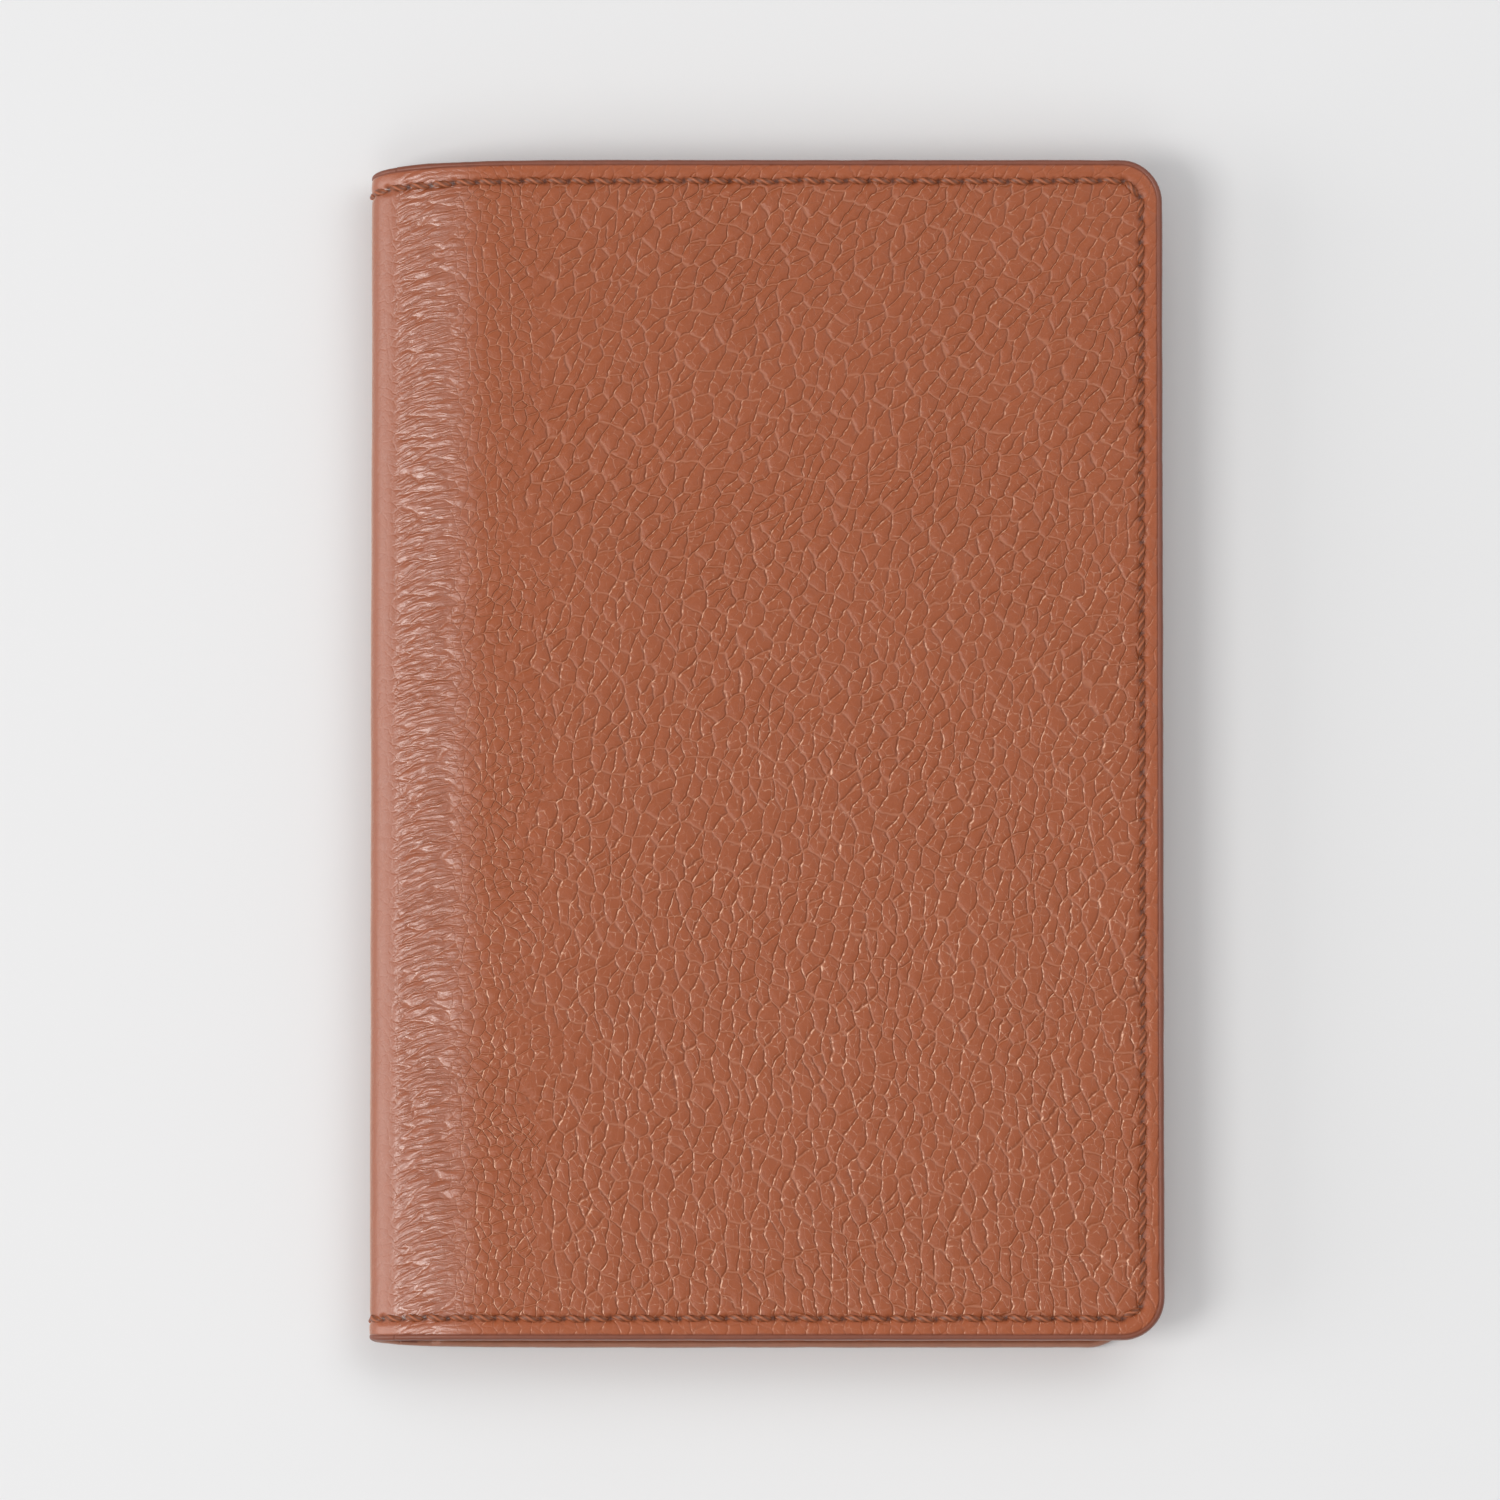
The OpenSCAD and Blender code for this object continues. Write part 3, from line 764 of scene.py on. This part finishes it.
for side, name, body in ((1, "front", "front_cover"), (-1, "back", "back_cover")):
    corner = corner_steps(side, RIM, 14)
    columns = join_steps(even_steps(S_MOUTH[side], S_MOUTH[side] + side * 20, 0.7),
                         even_steps(S_MOUTH[side] + side * 20, corner[0], 1.0), corner)
    s, y = sheet_grid(columns, row_shares(0.4, 4.8, 1.4), RIM)
    rim = edge_distance(s, y)
    lift = 0.10 * np.exp(-(((rim - MARGIN) / 0.7) ** 2)) + 0.4 * (1 - smooth(rim, RIM - 0.05, 1.0))
    lift += 0.35 * (1 - smooth(np.abs(s - S_MOUTH[side]), 0, 0.7))
    h = -STACK + lift
    # Painted shade in the sleeve's stitch holes.
    pit = near_holes(s, y)[1] * 0.8
    if side < 0:
        s, y, h, pit = s[::-1], y[::-1], h[::-1], pit[::-1]
    normals = -grid_normals(place(s, y, h))
    piece = slab_piece(f"sleeve_{name}", s, y, h, -WALL - 0.45, normals, pit,
                       SLEEVE_SKIN, inward=True)
    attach(piece, body)
    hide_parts(f"{name}_sleeve")


# ---------------------------------------------------------------- painted edge
EDGE_IN, EDGE_R = 0.42, 0.44  # the middle of the coat inside the outline, and half its width


def straight_run(s, end):
    """A run along the head (end 1) or tail (end -1): position and outward direction."""
    return np.stack([s, y_limit(s, end, 0), np.zeros(len(s)), np.full(len(s), end)], 1)


def fore_run(side, start):
    """A run from the spine along the head, round the fore-edge and back along the tail."""
    turn = np.linspace(0, math.pi / 2, 14)
    flat_end = S_FORE[side] - side * CORNER_R
    head = straight_run(even_steps(start, flat_end, 0.4), 1)
    corner_s = flat_end + side * CORNER_R * np.sin(turn)
    corner = np.stack([corner_s, y_limit(corner_s, 1, 0), side * np.sin(turn), np.cos(turn)], 1)
    tail_corner = np.stack([corner_s, y_limit(corner_s, -1, 0), side * np.sin(turn), -np.cos(turn)], 1)[::-1]
    y = even_steps(corner[-1, 1], tail_corner[0, 1], 0.6)
    fore = np.stack([np.full(len(y), S_FORE[side]), y, np.full(len(y), side), np.zeros(len(y))], 1)
    tail = straight_run(even_steps(flat_end, start, 0.4), -1)
    return join_steps(head, corner, fore, tail_corner, tail)


def signed_power(x, p):
    """Squares off a circle's sine and cosine."""
    return np.sign(x) * np.abs(x) ** p


def edge_rings(run, seed):
    """Rounded section of the painted edge along a run of the outline."""
    mouth = abs(S_MOUTH[1])
    depth = WALL + (STACK - WALL) * smooth(np.abs(run[:, 0]), mouth - 0.5, mouth + 0.5)
    noise = np.random.default_rng(seed).normal(0, 1, len(run) + 8)
    wander = np.convolve(noise, np.ones(9) / 9, "valid") * 0.05
    around = np.linspace(0, 2 * math.pi, 19)[:-1]
    q = -EDGE_IN + EDGE_R * signed_power(np.cos(around), 0.75)[None]
    q = q + wander[:, None] * np.maximum(np.cos(around), 0)[None]
    h = -depth[:, None] / 2 + (depth[:, None] / 2 + 0.015) * signed_power(np.sin(around), 0.72)[None]
    s = run[:, 0, None] + run[:, 2, None] * q
    y = run[:, 1, None] + run[:, 3, None] * q
    return place(s, y, h), np.stack([s, y, h], -1)


EDGE_RUNS = {
    "back": [fore_run(-1, S_STRIP[-1])],
    "spine_back": [straight_run(even_steps(S_STRIP[-1], 0, 0.25), end) for end in (1, -1)],
    "spine_front": [straight_run(even_steps(0, S_STRIP[1], 0.25), end) for end in (1, -1)],
    "front": [fore_run(1, S_STRIP[1])],
}


def mend_normals(obj):
    """Turns every face of a closed mesh outwards."""
    bm = bmesh.new()
    bm.from_mesh(obj.data)
    bmesh.ops.recalc_face_normals(bm, faces=bm.faces)
    bm.to_mesh(obj.data)
    bm.free()


for tile, runs in EDGE_RUNS.items():
    made = [edge_rings(run, 11 + i) for i, run in enumerate(runs)]
    piece = tube(f"painted_edge_{tile}", [m[0] for m in made], [m[1] for m in made], PAINT)
    mend_normals(piece)
    bend(piece, tile)
    replace_nodes(tile, "edge_paint")

for side, name, body in ((1, "front", "front_cover"), (-1, "back", "back_cover")):
    s0 = S_MOUTH[side]
    ends = [float(y_limit(np.array([s0]), end, 0.5)[0]) for end in (-1, 1)]
    y = even_steps(ends[0], ends[1], 1.2)
    around = np.linspace(0, 2 * math.pi, 15)[:-1]
    s = s0 + side * (0.3 + 0.34 * signed_power(np.cos(around), 0.8))[None] + 0 * y[:, None]
    h = -(WALL + STACK + 0.45) / 2 + 0.26 * signed_power(np.sin(around), 0.8)[None] + 0 * y[:, None]
    yy = y[:, None] + 0 * s
    piece = tube(f"sleeve_mouth_{name}", [place(s, yy, h)], [np.stack([s, yy, h], -1)], PAINT)
    mend_normals(piece)
    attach(piece, body)

# ---------------------------------------------------------------- thread
AROUND, ALONG_STITCH = 15, 17  # points round the thread and along a stitch
PLIES, TWIST = 3, 0.55  # turns per stitch
THREAD_R, FLATNESS, PLY_DEPTH = 0.41, 0.72, 0.17
HOLE_GAP = 0.07  # how much of the pitch the thread leaves free at each hole
SLANT = 0.17


def stitch_rings(start, end, outer):
    """One stitch: a three-ply thread that rises out of one hole and dives into the next."""
    t = np.linspace(0.0, 1.0, ALONG_STITCH)[:, None]
    way = end - start
    size = np.hypot(*way)
    ahead = way / size
    across = np.array([-ahead[1], ahead[0]])
    slant = SLANT * (1 - 2 * smooth(t, 0.0, 1.0))
    line = start + way * (HOLE_GAP + (1 - 2 * HOLE_GAP) * t) + across * slant
    arch = np.sin(math.pi * t) ** 0.6
    width = THREAD_R * (0.32 + 0.68 * np.sin(math.pi * t) ** 0.75)
    theta = np.linspace(0, 2 * math.pi, AROUND + 1)[:-1][None]
    twist = 2 * math.pi * TWIST * size / PITCH * (1 if outer else -1)
    ply = np.cos(PLIES * (theta - t * twist))
    radius = width * (1 + PLY_DEPTH * ply)
    side = radius * np.cos(theta)
    up = radius * FLATNESS * np.sin(theta)
    s = line[:, :1] + across[0] * side
    y = line[:, 1:] + across[1] * side
    if outer:
        resting = 0.2 * smooth(-s, 22, 30)  # the back cover's stitches stay off the floor
        h = -0.40 + 0.42 * arch + up - resting
    else:
        depth = np.where(np.abs(s) > abs(S_MOUTH[1]), STACK, WALL)
        h = -depth + 0.34 - 0.38 * arch + up
    return place(s, y, h), np.stack([s, y, h], -1), 0.5 + 0.5 * ply + 0 * s


def tile_of(s):
    return next(t for t, (low, high, _) in TILES.items() if low - 1e-6 <= s <= high + 1e-6)


NEXT_HOLES = np.roll(HOLES, -1, axis=0)
for tile in TILES:
    rings, flats, plies = [], [], []
    for a, b in zip(HOLES, NEXT_HOLES):
        if tile_of((a[0] + b[0]) / 2) != tile:
            continue
        for outer in (True, False):
            ring, flat, ply = stitch_rings(a, b, outer)
            rings.append(ring)
            flats.append(flat)
            plies.append(ply.ravel())
    piece = tube(f"stitching_{tile}", rings, flats, THREAD)
    piece.data.attributes.new("ply", "FLOAT", "POINT").data.foreach_set(
        "value", np.concatenate(plies).astype(np.float32))
    mend_normals(piece)
    bend(piece, tile)
    replace_nodes(tile, "stitching")


# ---------------------------------------------------------------- pages
def block_half(x):
    return BLOCK_SPINE + (BLOCK_FORE - BLOCK_SPINE) * (x - BLOCK_X) / PAGE_W


def page_stack(name, side, share0, share1, count, x0, body, node, seed):
    """Groups of leaves with round fore corners, each a slab that thickens toward the fore-edge."""
    random = np.random.default_rng(seed)
    points, faces = [], []
    gap = 0.06  # what the outer faces of the stack stand clear by
    between = 0.012
    r = 4.0
    turn = np.linspace(0, math.pi / 2, 7)
    for i in range(count):
        a, b = (share0 + (share1 - share0) * k / count for k in (i, i + 1))
        x1 = BLOCK_X + PAGE_W + random.normal(0, 0.05)
        half_h = PAGE_H / 2 + random.normal(0, 0.04)
        corner = [(x1 - r + r * math.sin(t), half_h - r + r * math.cos(t)) for t in turn]
        outline = [(x0, -half_h), (x0, half_h)] + corner + [(x, -y) for x, y in corner[::-1]]
        start = len(points)
        for share, sign in ((a, 1), (b, -1)):
            for x, y in outline:
                outermost = i == 0 if sign > 0 else i == count - 1
                h = share * block_half(x) + sign * ((gap if outermost else 0.0) + between)
                points.append((x, y, HALF_T + side * h))
        n = len(outline)
        faces.append(list(range(start, start + n)))
        faces.append(list(range(start + 2 * n - 1, start + n - 1, -1)))
        faces += [[start + j, start + n + j, start + n + (j + 1) % n, start + (j + 1) % n] for j in range(n)]
    piece = new_piece(name, points, faces, material=PAPER)
    mend_normals(piece)
    piece.data.polygons.foreach_set("use_smooth", [False] * len(piece.data.polygons))
    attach(piece, body)
    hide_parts(node)


page_stack("page_stack_back", -1, 0, 1, 22, BLOCK_X, "back_cover", "notebook_back_leaves", 1)
page_stack("page_stack_front", 1, TURNING, 1, 16, BLOCK_X, "front_leaves", "notebook_front_leaves", 2)
page_stack("page_stack_turning", 1, 0, TURNING, 6, BLOCK_X + 0.3, "turning_leaves", "notebook_turning_leaves", 3)

# These nodes are shown as the CAD has them.
CARRIED = {
    "notebook_back_cover": CARD, "notebook_front_cover": CARD, "back_board": BOARD, "front_board": BOARD,
    "notebook_back_spine_tape": TAPE, "notebook_front_spine_tape": TAPE,
}
for node, mat in CARRIED.items():
    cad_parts[node].data.materials.clear()
    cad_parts[node].data.materials.append(mat)

# ---------------------------------------------------------------- floor, light, camera
floor_mat, floor_w, floor_shader = new_material("floor")
floor_at = floor_w.node("ShaderNodeTexCoord").outputs["Object"]
mottle = floor_w.noise(floor_at, 6.0, 3.0, 0.5, "3D")[0]
floor_tone = floor_w.add(0.985, floor_w.mul(mottle, 0.03))
floor_w.put(floor_shader.inputs["Base Color"], tint(floor_w, FLOOR_COLOUR, floor_tone))
floor_shader.inputs["Roughness"].default_value = 0.85
floor_shader.inputs["Specular IOR Level"].default_value = 0.2
bpy.ops.mesh.primitive_plane_add(size=6, location=(0, 0, -0.0001))
floor = bpy.context.object
floor.name = "floor"
floor.data.materials.append(floor_mat)


def area_light(name, at, size, power, colour=(1, 1, 1)):
    """A soft box at a place in metres that looks at the origin."""
    data = bpy.data.lights.new(name, "AREA")
    data.shape = "RECTANGLE"
    data.size, data.size_y = size
    data.energy = power
    data.color = colour
    obj = bpy.data.objects.new(name, data)
    obj.location = at
    obj.rotation_euler = (-Vector(at)).to_track_quat("-Z", "Y").to_euler()
    bpy.context.scene.collection.objects.link(obj)


WARM = (1.0, 0.985, 0.965)
area_light("left_box", (-0.83, -0.25, 1.46), (0.5, 0.6), 9.6, WARM)
area_light("tail_box", (-0.2, -0.85, 1.46), (0.8, 0.8), 2.9, WARM)
area_light("head_box", (0.15, 0.9, 1.44), (0.9, 0.9), 2.7)
area_light("right_box", (0.8, 0.5, 1.45), (0.9, 0.9), 5.4)
area_light("window", (-3.75, -0.3, 1.35), (2.4, 2.6), 60.0, (1.0, 0.99, 0.98))
world = bpy.data.worlds.new("room")
world.use_nodes = True
background = world.node_tree.nodes["Background"]
background.inputs["Color"].default_value = (0.97, 0.985, 1.0, 1)
background.inputs["Strength"].default_value = 0.4
bpy.context.scene.world = world
bpy.context.scene.view_settings.view_transform = "Standard"
bpy.context.scene.view_settings.look = "None"

# The photograph looks down from slightly toward the tail, from far away.
CAMERA_FAR, CAMERA_TILT, CAMERA_LENS = 1.8, math.radians(4.6), 344.6
AIM = Vector((-2.07, 0.45, 6.0)) * MM
cam_data = bpy.data.cameras.new("camera")
cam_data.lens = CAMERA_LENS
cam_data.sensor_width = 36
cam_data.clip_start, cam_data.clip_end = 0.05, 20
camera = bpy.data.objects.new("camera", cam_data)
away = Vector((0, -math.sin(CAMERA_TILT), math.cos(CAMERA_TILT)))
camera.location = AIM + away * CAMERA_FAR
camera.rotation_euler = (-away).to_track_quat("-Z", "Y").to_euler()
bpy.context.scene.collection.objects.link(camera)
bpy.context.scene.camera = camera
